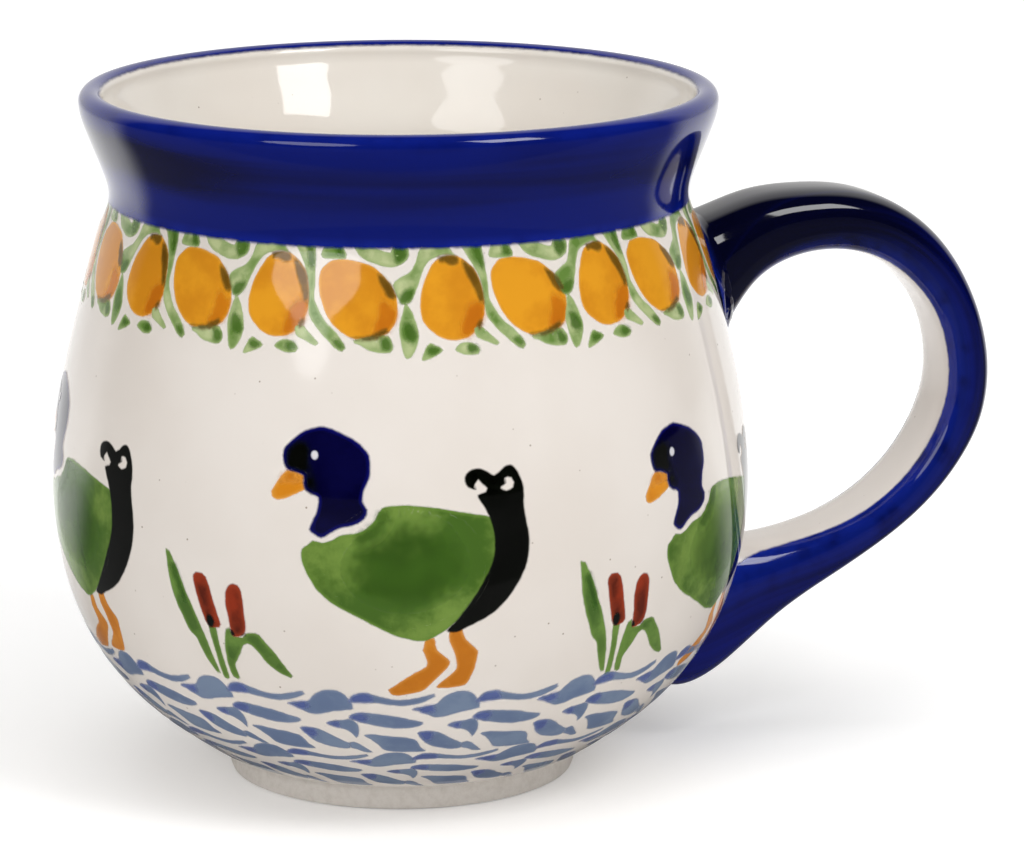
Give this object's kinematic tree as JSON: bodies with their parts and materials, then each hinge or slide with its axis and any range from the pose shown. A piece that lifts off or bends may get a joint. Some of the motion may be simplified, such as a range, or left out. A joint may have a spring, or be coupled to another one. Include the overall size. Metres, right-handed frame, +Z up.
{
  "type": "stoneware mug",
  "caption": "Round-bellied glazed stoneware mug with a narrow waist, a flared collar, a turned foot ring and a rounded strap handle.",
  "frame": {"origin": "centre of the foot ring's standing face, on the pot's axis", "axes": "+Z up along the pot's axis, +X from the axis towards the handle, +Y to the left of the handle as seen from behind it"},
  "size_m": [0.126, 0.0904, 0.09],
  "materials": {
    "stoneware": "bare fired stoneware, fine and slightly rough, as on the foot ring",
    "clear_glaze": "glossy clear glaze over warm white clay and painted decoration",
    "cobalt_glaze": "glossy deep cobalt blue glaze"
  },
  "bodies": {
    "root": {"stoneware_body": "stoneware", "handle": "stoneware", "upper_luting": "stoneware", "lower_luting": "stoneware", "liner_glaze": "clear_glaze", "belly_glaze": "clear_glaze", "base_glaze": "clear_glaze", "handle_grip_glaze": "clear_glaze", "collar_glaze": "cobalt_glaze", "handle_glaze": "cobalt_glaze"}
  },
  "joints": []
}
